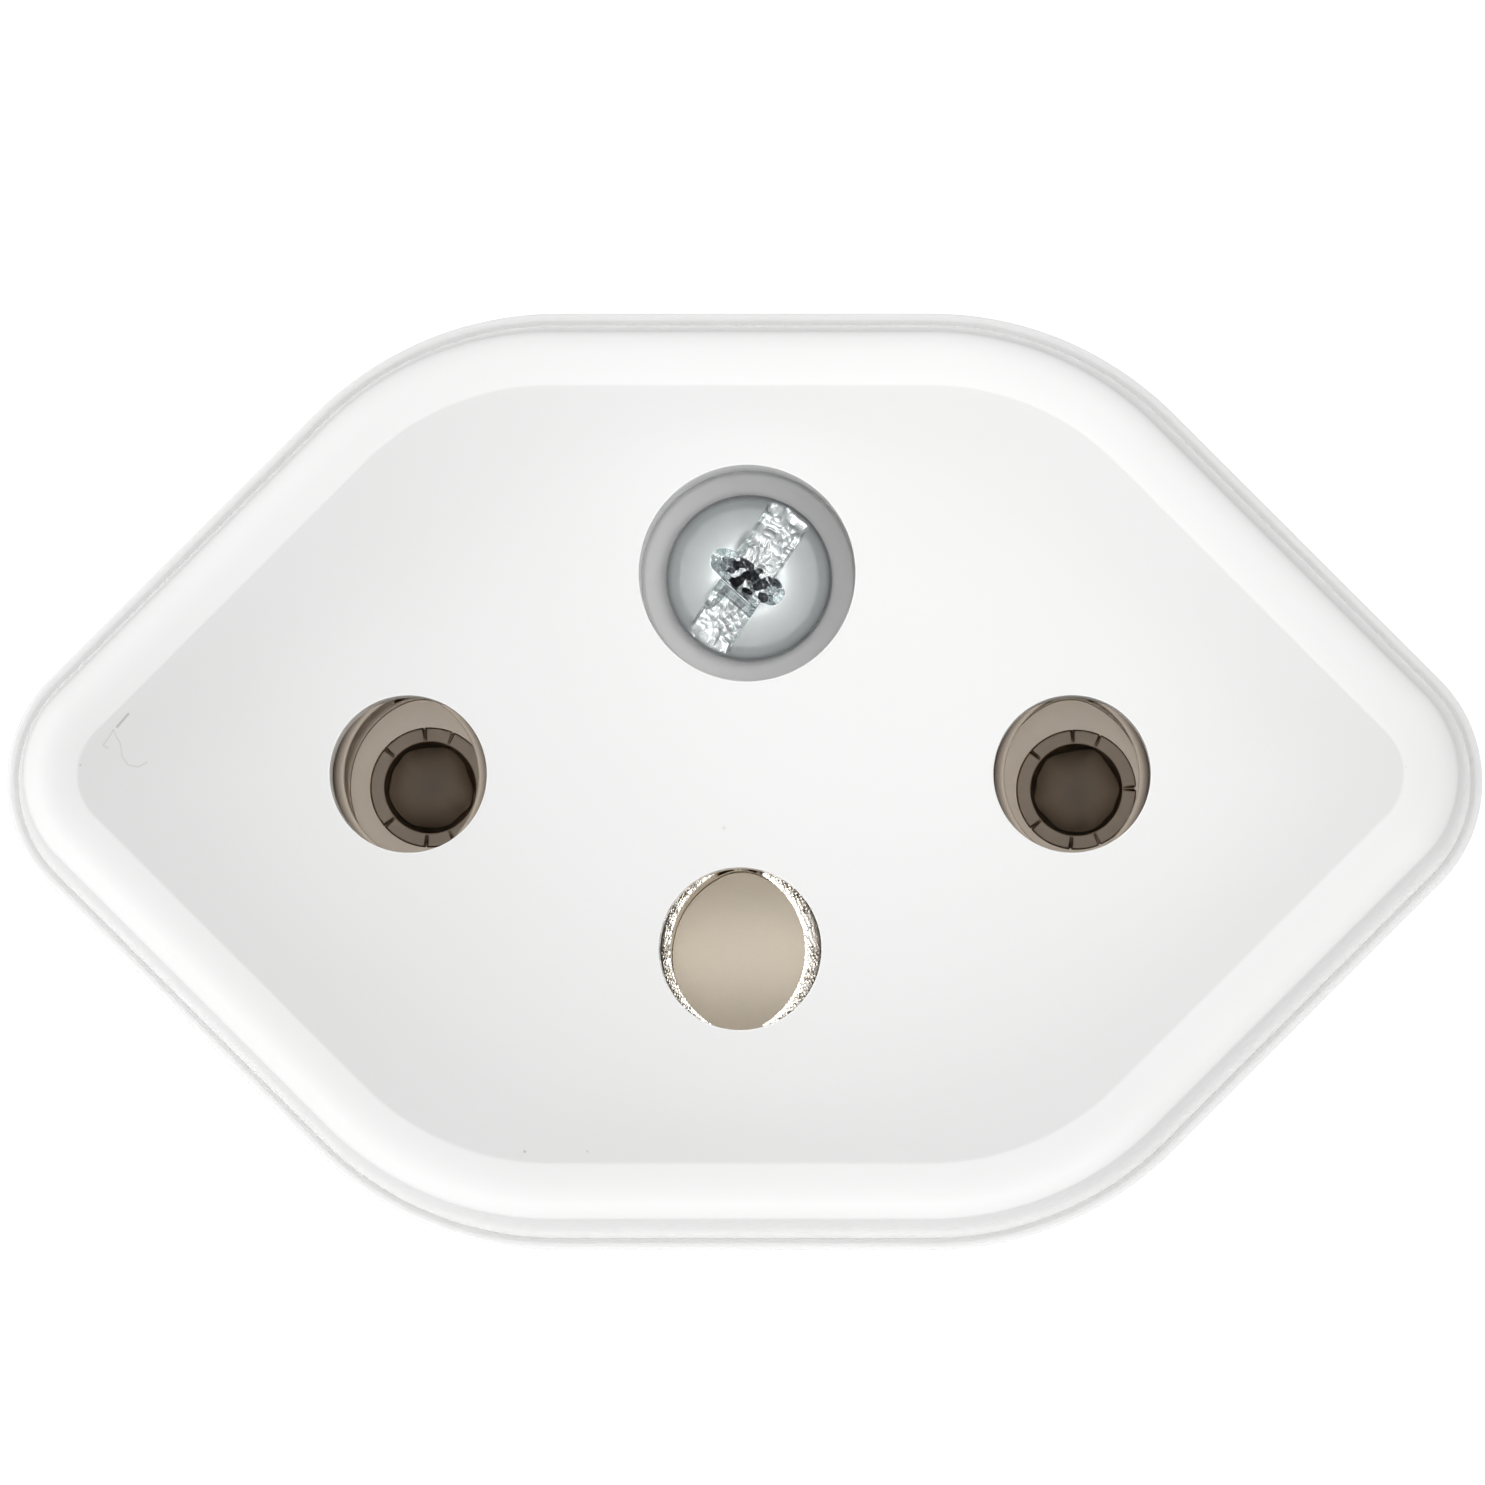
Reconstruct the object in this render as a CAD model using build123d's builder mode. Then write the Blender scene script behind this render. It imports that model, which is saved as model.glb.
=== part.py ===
# Travel adapter: a three-hole socket face in front, a three-pin plug behind.
# X runs to the right as seen from the front, Z runs up, and Y runs from the socket face to the plug.
# The origin is the centre of the plug face, at the foot of the earth pin.
# Depths are measured from the socket face towards the plug.
from build123d import *
import math
import os

os.makedirs("parts", exist_ok=True)

# Body, all lengths in millimetres and all angles in degrees
housing_width = 43.0
housing_height = 27.3
body_depth = 25.0
parting_depth = 12.5
flank_angle = 45.0
corner_radius = 10.0
tip_radius = 4.2
shell_wall = 2.0
face_thickness = 2.2
floor_thickness = 3.0
mould_draft = 3.0
rim_step = 0.35
rim_edge_radius = 0.1
face_edge_radius = 1.7
plug_edge_radius = 1.2
hole_edge_radius = 0.08
least_radius = 0.4

# Tongue of the cover in the rebate of the housing
tongue_thickness = 0.9
tongue_length = 1.2
shell_clearance = 0.1

# Socket holes
pin_spacing = 19.0
earth_drop = 5.0
live_hole_radius = 2.25
earth_hole_radius = 2.325
collar_wall = 1.2
collar_depth = 3.7

# Screw, its well and its insert
screw_offset = 0.2
screw_rise = 5.75
well_radius = 3.1
well_wall = 1.25
head_seat_depth = 6.5
seat_thickness = 1.6
head_radius = 2.4
head_side = 1.0
head_dome = 0.9
head_rim_radius = 0.3
screw_radius = 1.3
screw_length = 10.0
screw_clearance = 0.15
screw_point = 0.4
slot_width = 1.2
slot_depth = 1.0
recess_span = 2.6
recess_width = 1.1
recess_depth = 1.5
recess_taper = 12.0
slot_angle = 59.0
insert_radius = 2.0
insert_length = 6.0
insert_lead = 0.5
insert_wall = 1.2
insert_clearance = 0.02
knurl_count = 16
knurl_depth = 0.15
tip_room = 1.0

# Sleeve contacts, drawn from sheet
sheet_thickness = 0.45
grip_gap = 3.86
leaf_radius = 2.48
leaf_tip_radius = 1.2
sleeve_bottom = 0.6
bottom_fillet = 0.15
dish_fillet = 1.1
mouth_gap = 0.3
slot_opening = 1.4
slot_reach = 10.0
spring_band = 0.35
spring_width = 3.0
spring_setback = 1.5
spring_opening = 1.6
spring_clearance = 0.03

# Earth strap
strap_thickness = 0.6
strap_width = 5.2
strap_overhang = 3.0
strap_head = 2.0
strap_corner = 1.2

# Plug pins
plug_pin_radius = 2.0
plug_pin_length = 19.0
plug_tip_radius = 1.5
core_radius = 1.5
sleeve_length = 10.0
collar_radius = 1.8
collar_height = 0.8
socket_depth = 2.0
foot_depth = 0.1
foot_clearance = 0.05
pin_clearance = 0.03
lip_radius = 1.75
lip_height = 0.6
lip_rounding = 0.22
bore_radius = 1.22
bore_flare = 0.18
flare_depth = 0.36
bore_depth = 4.0
drill_point_angle = 118.0
crack_count = 8
crack_width = 0.1
crack_length = 0.6
crack_depth = 0.35

# Ribs and nests inside the housing
rib_thickness = 1.2
partition_offset = 5.0
partition_top_depth = 14.5
nest_wall = 1.0
nest_height = 2.5
nest_clearance = 0.1
cover_rib_depth = 5.5

# Values worked out from those above
live_offset = pin_spacing / 2
floor_depth = body_depth - floor_thickness
seat_back_depth = head_seat_depth + seat_thickness
mouth_depth = collar_depth + mouth_gap
slope = math.radians(flank_angle)
sharp_tip = housing_width / 2 + tip_radius * (1 / math.sin(slope) - 1)
leaf_offset = leaf_radius - grip_gap / 2
cut_reach = 3 * leaf_radius


# A plane at a depth behind the socket face, facing the front
def station(depth, across=0.0, up=0.0):
    return Plane(origin=(across, depth - body_depth, up), x_dir=(1, 0, 0), z_dir=(0, -1, 0))


# A plane for turned profiles: x is the radius and y the world's Y
def turning_plane(across, up=0.0):
    return Plane(origin=(across, 0, up), x_dir=(1, 0, 0), z_dir=(0, 0, 1))


# The axis of a turned piece
def turning_axis(across, up=0.0):
    return Axis((across, 0, up), (0, 1, 0))


# The full circles among the edges of a shape
def closed_circles(shape):
    return shape.edges().filter_by(GeomType.CIRCLE).filter_by(lambda edge: edge.is_closed)


# The six-sided outline with rounded corners, inset from the widest contour
def body_outline(inset):
    half_height = housing_height / 2 - inset
    tip = sharp_tip - inset / math.sin(slope)
    shoulder = tip - half_height / math.tan(slope)
    corners = [
        (tip, 0),
        (shoulder, half_height),
        (-shoulder, half_height),
        (-tip, 0),
        (-shoulder, -half_height),
        (shoulder, -half_height),
    ]
    with BuildSketch(Plane.XY, mode=Mode.PRIVATE) as outline:
        Polygon(*corners, align=None)
        tips = outline.vertices().filter_by(lambda point: abs(point.Y) < half_height / 2)
        fillet(tips, max(tip_radius - inset, least_radius))
        sides = outline.vertices().filter_by(lambda point: abs(point.Y) > half_height * 0.999)
        fillet(sides.filter_by(lambda point: abs(abs(point.X) - shoulder) < 0.01), corner_radius - inset)
    return outline.sketch


# The section of a sleeve contact: two shallow arcs bowed apart, grown outwards by some amount
def sleeve_section(growth):
    radius = leaf_radius + growth
    with BuildSketch(Plane.XY, mode=Mode.PRIVATE) as section:
        with Locations((-leaf_offset, 0)):
            Circle(radius)
        with Locations((leaf_offset, 0)):
            Circle(radius, mode=Mode.INTERSECT)
        fillet(section.vertices(), leaf_tip_radius + growth)
    return section.sketch


# Front cover: a drafted shell with a rounded face, open at the back
with BuildPart() as front_cover:
    with BuildSketch(station(parting_depth)):
        add(body_outline(rim_step))
    extrude(amount=parting_depth, taper=mould_draft)
    fillet(front_cover.faces().sort_by(Axis.Y)[0].edges(), face_edge_radius)

    # Inside of the shell
    with BuildSketch(station(parting_depth)):
        add(body_outline(rim_step + shell_wall))
    extrude(amount=parting_depth - face_thickness, taper=mould_draft, mode=Mode.SUBTRACT)

    # Tongue that enters the housing
    with BuildSketch(station(parting_depth)):
        add(body_outline(rim_step + shell_wall - tongue_thickness))
        add(body_outline(rim_step + shell_wall), mode=Mode.SUBTRACT)
    extrude(amount=-tongue_length)

    # Collars round the pin holes
    with BuildSketch(station(collar_depth)):
        with Locations((-live_offset, 0), (live_offset, 0)):
            Circle(live_hole_radius + collar_wall)
        with Locations((0, -earth_drop)):
            Circle(earth_hole_radius + collar_wall)
    extrude(amount=collar_depth - face_thickness / 2)

    # Boss under the screw well
    with BuildSketch(station(seat_back_depth, screw_offset, screw_rise)):
        Circle(well_radius + well_wall)
    extrude(amount=seat_back_depth - face_thickness / 2)

    # Stiffening ribs from the boss and the collars to the walls
    rib_end = sharp_tip - (rim_step + shell_wall / 2) / math.sin(slope) - tip_radius / 2
    rib_start = live_offset + live_hole_radius + collar_wall / 2
    with BuildSketch(station(cover_rib_depth)):
        for side in (-1, 1):
            with Locations((side * (rib_start + rib_end) / 2, 0)):
                Rectangle(rib_end - rib_start, rib_thickness)
        rib_bottom = housing_height / 2 - rim_step - shell_wall / 2
        rib_top = earth_drop + earth_hole_radius + collar_wall / 2
        with Locations((0, -(rib_top + rib_bottom) / 2)):
            Rectangle(rib_thickness, rib_bottom - rib_top)
    extrude(amount=cover_rib_depth - face_thickness / 2)

    # Pin holes, screw well and the hole in its seat
    with BuildSketch(station(collar_depth)):
        with Locations((-live_offset, 0), (live_offset, 0)):
            Circle(live_hole_radius)
        with Locations((0, -earth_drop)):
            Circle(earth_hole_radius)
    extrude(amount=collar_depth, mode=Mode.SUBTRACT)
    with BuildSketch(station(head_seat_depth, screw_offset, screw_rise)):
        Circle(well_radius)
    extrude(amount=head_seat_depth, mode=Mode.SUBTRACT)
    with BuildSketch(station(seat_back_depth, screw_offset, screw_rise)):
        Circle(screw_radius + screw_clearance)
    extrude(amount=seat_thickness, mode=Mode.SUBTRACT)

    # Small rounding where the holes meet the face
    fillet(closed_circles(front_cover.faces().sort_by(Axis.Y)[0]), hole_edge_radius)
front_cover.part.label = "front_cover"
export_step(front_cover.part, "parts/front_cover.step")

# Rear housing: a drafted tray whose rim stands proud of the cover
with BuildPart() as rear_housing:
    with BuildSketch(station(parting_depth)):
        add(body_outline(0))
    extrude(amount=-(body_depth - parting_depth), taper=mould_draft)
    fillet(rear_housing.faces().sort_by(Axis.Y)[-1].edges(), plug_edge_radius)
    fillet(rear_housing.faces().sort_by(Axis.Y)[0].outer_wire().edges(), rim_edge_radius)

    # Inside of the tray
    with BuildSketch(station(parting_depth)):
        add(body_outline(rim_step + shell_wall))
    extrude(amount=-(floor_depth - parting_depth), taper=mould_draft, mode=Mode.SUBTRACT)

    # Rebate for the tongue of the cover
    with BuildSketch(station(parting_depth)):
        add(body_outline(rim_step + shell_wall - tongue_thickness - shell_clearance))
    extrude(amount=-(tongue_length + shell_clearance), mode=Mode.SUBTRACT)

    # Partitions between the live chambers and the earth chamber
    with BuildSketch(station(partition_top_depth)):
        for side in (-1, 1):
            with Locations((side * partition_offset, 0)):
                Rectangle(rib_thickness, housing_height - 2 * rim_step - shell_wall)
    extrude(amount=-(floor_depth + floor_thickness / 2 - partition_top_depth))

    # Boss for the screw insert, up to the boss of the cover
    with BuildSketch(station(seat_back_depth, screw_offset, screw_rise)):
        Circle(insert_radius + insert_wall)
    extrude(amount=-(floor_depth + floor_thickness / 2 - seat_back_depth))

    # Nests that hold the feet of the live sleeves
    with BuildSketch(station(floor_depth)):
        for side in (-1, 1):
            with Locations((side * live_offset, 0)):
                add(sleeve_section(sheet_thickness + nest_clearance + nest_wall))
                add(sleeve_section(sheet_thickness + nest_clearance), mode=Mode.SUBTRACT)
    extrude(amount=nest_height)

    # Guides along the earth strap
    with BuildSketch(station(floor_depth)):
        for side in (-1, 1):
            with Locations((side * (strap_width / 2 + nest_clearance + nest_wall / 2), -earth_drop)):
                Rectangle(nest_wall, strap_width)
    extrude(amount=nest_height)

    # Pocket for the insert and room for the screw's tip
    with BuildSketch(station(seat_back_depth, screw_offset, screw_rise)):
        Circle(insert_radius + insert_clearance)
    extrude(amount=-(insert_lead + insert_length), mode=Mode.SUBTRACT)
    with BuildSketch(station(seat_back_depth, screw_offset, screw_rise)):
        Circle(screw_radius + screw_clearance)
    extrude(amount=-(screw_length - seat_thickness + tip_room), mode=Mode.SUBTRACT)

    # Stepped holes for the plug pins, with a shallow recess at their feet
    pin_places = [(-live_offset, 0), (0, 0), (live_offset, 0)]
    with BuildSketch(station(floor_depth)):
        with Locations(*pin_places):
            Circle(core_radius + pin_clearance)
    extrude(amount=-floor_thickness, mode=Mode.SUBTRACT)
    with BuildSketch(station(body_depth)):
        with Locations(*pin_places):
            Circle(collar_radius + pin_clearance)
    extrude(amount=socket_depth, mode=Mode.SUBTRACT)
    with BuildSketch(station(body_depth)):
        with Locations(*pin_places):
            Circle(plug_pin_radius + foot_clearance)
    extrude(amount=foot_depth, mode=Mode.SUBTRACT)
rear_housing.part.label = "rear_housing"
export_step(rear_housing.part, "parts/rear_housing.step")

# Screw: pan head with a combined slot and cross recess
head_top = head_seat_depth - head_side - head_dome
dome_radius = (head_dome**2 + head_radius**2) / (2 * head_dome)
with BuildPart() as cover_screw:
    with BuildSketch(turning_plane(screw_offset, screw_rise)):
        with BuildLine():
            Polyline(
                (0, head_top - body_depth),
                (0, head_seat_depth + screw_length - body_depth),
                (screw_radius, head_seat_depth + screw_length - body_depth),
                (screw_radius, head_seat_depth - body_depth),
                (head_radius, head_seat_depth - body_depth),
                (head_radius, head_seat_depth - head_side - body_depth),
            )
            RadiusArc(
                (head_radius, head_seat_depth - head_side - body_depth),
                (0, head_top - body_depth),
                dome_radius,
            )
        make_face()
    revolve(axis=turning_axis(screw_offset, screw_rise))
    head_edges = closed_circles(cover_screw).group_by(SortBy.RADIUS)[-1]
    fillet(head_edges.sort_by(Axis.Y)[0], head_rim_radius)
    chamfer(cover_screw.edges().group_by(Axis.Y)[-1], screw_point)

    # Slot across the head, then the tapered cross inside it
    with BuildSketch(station(head_top + slot_depth, screw_offset, screw_rise)):
        Rectangle(2 * head_radius, slot_width, rotation=slot_angle)
    extrude(amount=slot_depth, mode=Mode.SUBTRACT)
    with BuildSketch(station(head_top, screw_offset, screw_rise)):
        Rectangle(recess_span, recess_width, rotation=slot_angle)
        Rectangle(recess_width, recess_span, rotation=slot_angle)
    extrude(amount=-recess_depth, taper=recess_taper, mode=Mode.SUBTRACT)
cover_screw.part.label = "cover_screw"
export_step(cover_screw.part, "parts/cover_screw.step")

# Brass insert with straight knurls
insert_depth = seat_back_depth + insert_lead
with BuildPart() as screw_insert:
    with BuildSketch(station(insert_depth, screw_offset, screw_rise)):
        Circle(insert_radius)
        Circle(screw_radius + insert_clearance, mode=Mode.SUBTRACT)
        with PolarLocations(insert_radius, knurl_count):
            Circle(knurl_depth, mode=Mode.SUBTRACT)
    extrude(amount=-insert_length)
screw_insert.part.label = "screw_insert"
export_step(screw_insert.part, "parts/screw_insert.step")


# A drawn sleeve with a bottom, split above and below from its mouth
def sleeve_contact(across, up, bottom_depth, floor_fillet):
    inner_depth = bottom_depth - sleeve_bottom
    with BuildPart() as hollow:
        with BuildSketch(station(inner_depth, across, up)):
            add(sleeve_section(0))
        extrude(amount=inner_depth - mouth_depth)
        fillet(hollow.faces().sort_by(Axis.Y)[-1].edges(), floor_fillet)
    with BuildPart() as contact:
        with BuildSketch(station(bottom_depth, across, up)):
            add(sleeve_section(sheet_thickness))
        extrude(amount=bottom_depth - mouth_depth)
        fillet(contact.faces().sort_by(Axis.Y)[-1].edges(), sheet_thickness)
        add(hollow.part, mode=Mode.SUBTRACT)
        with BuildSketch(turning_plane(across, up)):
            with Locations((0, mouth_depth - body_depth + slot_reach / 2)):
                Rectangle(slot_opening, slot_reach)
            with Locations((0, mouth_depth - body_depth + slot_reach)):
                Circle(slot_opening / 2)
        extrude(amount=cut_reach, both=True, mode=Mode.SUBTRACT)
    return contact


# An open steel ring that closes the leaves on the pin
def grip_spring(across, up):
    inner_growth = sheet_thickness + spring_clearance
    with BuildPart() as spring:
        with BuildSketch(station(mouth_depth + spring_setback + spring_width, across, up)):
            add(sleeve_section(inner_growth + spring_band))
            add(sleeve_section(inner_growth), mode=Mode.SUBTRACT)
            with Locations((0, cut_reach / 2)):
                Rectangle(spring_opening, cut_reach, mode=Mode.SUBTRACT)
        extrude(amount=spring_width)
    return spring


# A turned pin whose tubular end is flared over the metal that it carries
def plug_pin(across, neck_length, seat_depth):
    seat = seat_depth - body_depth
    lip_front = seat - lip_height
    bore_end = lip_front + bore_depth
    outline = [(0, plug_pin_length), (plug_pin_radius, plug_pin_length)]
    if neck_length > 0:
        outline += [
            (plug_pin_radius, neck_length),
            (core_radius, neck_length),
            (core_radius, collar_height - socket_depth),
            (collar_radius, collar_height - socket_depth),
        ]
    else:
        outline += [(plug_pin_radius, -foot_depth), (collar_radius, -foot_depth)]
    outline += [
        (collar_radius, -socket_depth),
        (core_radius, -socket_depth),
        (core_radius, seat),
        (lip_radius, seat),
        (lip_radius, lip_front),
        (bore_radius + bore_flare, lip_front),
        (bore_radius, lip_front + flare_depth),
        (bore_radius, bore_end),
        (0, bore_end + bore_radius / math.tan(math.radians(drill_point_angle / 2))),
        (0, plug_pin_length),
    ]
    with BuildPart() as pin:
        with BuildSketch(turning_plane(across)):
            with BuildLine():
                Polyline(*outline)
            make_face()
        revolve(axis=turning_axis(across))
        fillet(pin.edges().group_by(Axis.Y)[-1], plug_tip_radius)
        fillet(closed_circles(pin).group_by(Axis.Y)[0].sort_by(SortBy.RADIUS)[-1], lip_rounding)
        with BuildSketch(station(seat_depth - lip_height + crack_depth, across)):
            with PolarLocations(lip_radius, crack_count):
                Rectangle(2 * crack_length, crack_width)
        extrude(amount=crack_depth, mode=Mode.SUBTRACT)
    return pin


# The insulating sleeve on the root of a live pin
def pin_sleeve(across):
    inner_radius = core_radius + insert_clearance
    outline = [
        (inner_radius, collar_height - socket_depth),
        (collar_radius, collar_height - socket_depth),
        (collar_radius, -foot_depth),
        (plug_pin_radius, -foot_depth),
        (plug_pin_radius, sleeve_length),
        (inner_radius, sleeve_length),
    ]
    with BuildPart() as sleeve:
        with BuildSketch(turning_plane(across)):
            with BuildLine():
                Polyline(*outline, close=True)
            make_face()
        revolve(axis=turning_axis(across))
    return sleeve


# Label a finished piece and write it out
def save(piece, name):
    piece.part.label = name
    export_step(piece.part, f"parts/{name}.step")


# The two live lines: sleeve, spring, riveted pin and insulating sleeve
for line, across in (("line", -live_offset), ("neutral", live_offset)):
    contact = sleeve_contact(across, 0, floor_depth, bottom_fillet)
    with BuildPart() as pierced:
        add(contact.part)
        with BuildSketch(station(floor_depth, across)):
            Circle(core_radius + pin_clearance)
        extrude(amount=sleeve_bottom, mode=Mode.SUBTRACT)
    save(pierced, f"{line}_contact")
    save(grip_spring(across, 0), f"{line}_grip_spring")
    save(plug_pin(across, sleeve_length, floor_depth - sleeve_bottom), f"{line}_pin")
    save(pin_sleeve(across), f"{line}_pin_sleeve")

# The earth line: closed sleeve, spring, strap and solid pin
strap_depth = floor_depth - strap_thickness
save(sleeve_contact(0, -earth_drop, strap_depth, dish_fillet), "earth_contact")
save(grip_spring(0, -earth_drop), "earth_grip_spring")
save(plug_pin(0, 0, strap_depth), "earth_pin")
strap_length = earth_drop + strap_overhang + strap_head
with BuildPart() as earth_strap:
    with BuildSketch(station(floor_depth)):
        with Locations((0, strap_head - strap_length / 2)):
            RectangleRounded(strap_width, strap_length, strap_corner)
        Circle(core_radius + pin_clearance, mode=Mode.SUBTRACT)
    extrude(amount=strap_thickness)
save(earth_strap, "earth_strap")
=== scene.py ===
# Travel adapter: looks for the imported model
import math
import bmesh
import bpy
import numpy as np
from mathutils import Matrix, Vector


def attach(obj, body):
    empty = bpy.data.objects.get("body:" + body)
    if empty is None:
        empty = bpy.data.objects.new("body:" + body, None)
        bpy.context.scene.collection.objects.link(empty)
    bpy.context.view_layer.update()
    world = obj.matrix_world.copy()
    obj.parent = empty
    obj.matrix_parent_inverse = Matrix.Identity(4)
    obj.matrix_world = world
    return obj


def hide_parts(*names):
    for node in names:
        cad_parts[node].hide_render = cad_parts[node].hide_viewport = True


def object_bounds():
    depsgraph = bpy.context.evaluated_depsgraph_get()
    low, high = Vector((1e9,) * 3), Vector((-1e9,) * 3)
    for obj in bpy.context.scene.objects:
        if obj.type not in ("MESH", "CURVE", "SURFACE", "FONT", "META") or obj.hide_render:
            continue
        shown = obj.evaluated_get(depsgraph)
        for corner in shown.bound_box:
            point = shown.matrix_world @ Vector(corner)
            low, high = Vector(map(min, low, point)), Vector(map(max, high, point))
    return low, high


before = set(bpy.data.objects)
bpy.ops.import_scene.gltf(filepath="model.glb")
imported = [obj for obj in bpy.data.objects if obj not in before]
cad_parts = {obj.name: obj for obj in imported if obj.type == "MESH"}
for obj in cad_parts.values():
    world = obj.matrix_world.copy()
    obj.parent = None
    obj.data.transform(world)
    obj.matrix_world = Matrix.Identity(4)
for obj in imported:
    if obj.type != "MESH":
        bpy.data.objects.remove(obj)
cadLow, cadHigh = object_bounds()
print("frame loaded:", len(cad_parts), "nodes")

# Sizes that several pieces share, in millimetres; depth runs from the socket face to the plug
body = {
    "width": 43.0,
    "height": 27.3,
    "depth": 25.0,
    "parting": 12.5,
    "cornerRadius": 10.0,
    "tipRadius": 4.2,
    "wall": 2.0,
    "draft": 3.0,
    "rimStep": 0.35,
    "floorDepth": 22.0,
    "tongueThickness": 0.9,
    "tongueLength": 1.2,
    "tongueGap": 0.1,
}
holes = {
    "liveX": 9.5,
    "liveRadius": 2.25,
    "earthZ": -5.0,
    "earthRadius": 2.325,
    "wellX": 0.2,
    "wellZ": 5.75,
    "wellRadius": 3.1,
}
diagonal = math.radians(45)
draftSlope = math.tan(math.radians(body["draft"]))


# Surfaces
def arcPieces(centre, radius, fromAngle, toAngle, steps):
    # point = centre + radius * (cos a, sin a), and the normal is (cos a, sin a)
    angle = np.radians(np.linspace(fromAngle, toAngle, steps, endpoint=False))
    normal = np.stack([np.cos(angle), np.sin(angle)], axis=1)
    return np.asarray(centre) + radius * normal, normal


def straightPieces(start, end, normalAngle, steps):
    # point = start + t * (end - start), with one normal all along
    t = np.linspace(0, 1, steps, endpoint=False)[:, None]
    normal = np.array([math.cos(math.radians(normalAngle)), math.sin(math.radians(normalAngle))])
    return np.asarray(start) * (1 - t) + np.asarray(end) * t, np.repeat(normal[None], steps, axis=0)


def bodyOutline():
    # the widest contour, clockwise from the top: flats, corner arcs, slanted flanks and tip arcs
    halfHeight = body["height"] / 2
    corner = body["cornerRadius"]
    tip = body["tipRadius"]
    sharpTip = body["width"] / 2 + tip * (1 / math.sin(diagonal) - 1)
    shoulder = sharpTip - halfHeight / math.tan(diagonal)
    cornerX = shoulder - corner * math.tan(diagonal / 2)
    cornerZ = halfHeight - corner
    tipX = body["width"] / 2 - tip
    cornerEnd = (cornerX + corner * math.cos(diagonal), cornerZ + corner * math.sin(diagonal))
    tipStart = (tipX + tip * math.cos(diagonal), tip * math.sin(diagonal))
    parts = [
        straightPieces((-cornerX, halfHeight), (cornerX, halfHeight), 90, 24),
        arcPieces((cornerX, cornerZ), corner, 90, 45, 20),
        straightPieces(cornerEnd, tipStart, 45, 20),
        arcPieces((tipX, 0), tip, 45, -45, 36),
        straightPieces((tipStart[0], -tipStart[1]), (cornerEnd[0], -cornerEnd[1]), -45, 20),
        arcPieces((cornerX, -cornerZ), corner, -45, -90, 20),
    ]
    half = [np.concatenate([part[i] for part in parts]) for i in (0, 1)]
    return np.concatenate([half[0], -half[0]]), np.concatenate([half[1], -half[1]])


def circleOutline(across, up, steps):
    # a point with normals all round, so that an inset of -r gives the circle of radius r
    angle = np.linspace(0, 2 * np.pi, steps, endpoint=False)
    return np.repeat([[across, up]], steps, axis=0), np.stack([np.cos(angle), np.sin(angle)], axis=1)


def roundedProfile(corners, steps=8, support=0.04):
    # each corner (a, depth, radius) becomes an arc: centre + slerp between its two tangent points
    rows = [np.array(corners[0][:2], float)]
    for before, here, after in zip(corners, corners[1:], corners[2:]):
        point = np.array(here[:2], float)
        back = np.array(before[:2], float) - point
        ahead = np.array(after[:2], float) - point
        backLength = np.linalg.norm(back)
        aheadLength = np.linalg.norm(ahead)
        back = back / backLength
        ahead = ahead / aheadLength
        radius = here[2] if len(here) > 2 else 0
        if radius == 0:
            rows.append(point)
            continue
        half = math.acos(float(np.clip(back @ ahead, -1, 1))) / 2
        reach = radius / math.tan(half)
        middle = (back + ahead) / np.linalg.norm(back + ahead)
        centre = point + middle * radius / math.sin(half)
        first = point + back * reach - centre
        last = point + ahead * reach - centre
        turn = math.pi - 2 * half
        t = np.linspace(0, 1, steps + 1)[:, None]
        arc = centre + (np.sin((1 - t) * turn) * first + np.sin(t * turn) * last) / math.sin(turn)
        if reach + support < backLength:
            rows.append(point + back * (reach + support))
        rows.extend(arc)
        if reach + support < aheadLength:
            rows.append(point + ahead * (reach + support))
    rows.append(np.array(corners[-1][:2], float))
    return np.array(rows)


def gridFaces(rows, columns, closedAcross=False, closedAlong=False):
    # quads between neighbouring rows and columns of a grid, joined round where it is closed
    i = np.arange(rows if closedAlong else rows - 1)[:, None]
    j = np.arange(columns if closedAcross else columns - 1)[None, :]
    nextI = (i + 1) % rows
    nextJ = (j + 1) % columns
    quads = [i * columns + j, nextI * columns + j, nextI * columns + nextJ, i * columns + nextJ]
    return np.stack(np.broadcast_arrays(*quads), axis=-1).reshape(-1, 4)


def surface(x, y, z, closedAcross=False):
    # a grid of points (x, y, z) with its faces
    return np.stack([x, y, z], axis=-1).reshape(-1, 3), gridFaces(*x.shape, closedAcross=closedAcross)


def skin(outline, profile, closedAlong=False):
    # point(u, v) = outline(v) - inset(u) * normal(v), at depth(u)
    points, normals = outline
    flat = points[None] - profile[:, 0, None, None] * normals[None]
    depth = np.repeat(profile[:, 1, None], len(points), axis=1)
    verts = np.stack([flat[..., 0], depth, flat[..., 1]], axis=-1)
    return verts.reshape(-1, 3), gridFaces(*depth.shape, closedAcross=True, closedAlong=closedAlong)


def turned(across, up, profile, steps=128):
    # a profile of (radius, depth) turned round the axis at (across, up)
    return skin(circleOutline(across, up, steps), profile * np.array([-1, 1]))


def waves(x, z, length, count, seed):
    # sum of sine waves of about one length in seeded directions, between about -1 and 1
    rng = np.random.default_rng(seed)
    heading = rng.uniform(0, np.pi, count)
    number = 2 * np.pi / (length * rng.uniform(0.6, 1.6, count))
    phase = rng.uniform(0, 2 * np.pi, count)
    run = x[..., None] * np.cos(heading) + z[..., None] * np.sin(heading)
    return np.sin(run * number + phase).sum(axis=-1) / math.sqrt(count)


def step(value, low, high):
    # 0 below low, 1 above high, and 3t^2 - 2t^3 between
    t = np.clip((value - low) / (high - low), 0, 1)
    return t * t * (3 - 2 * t)


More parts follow.
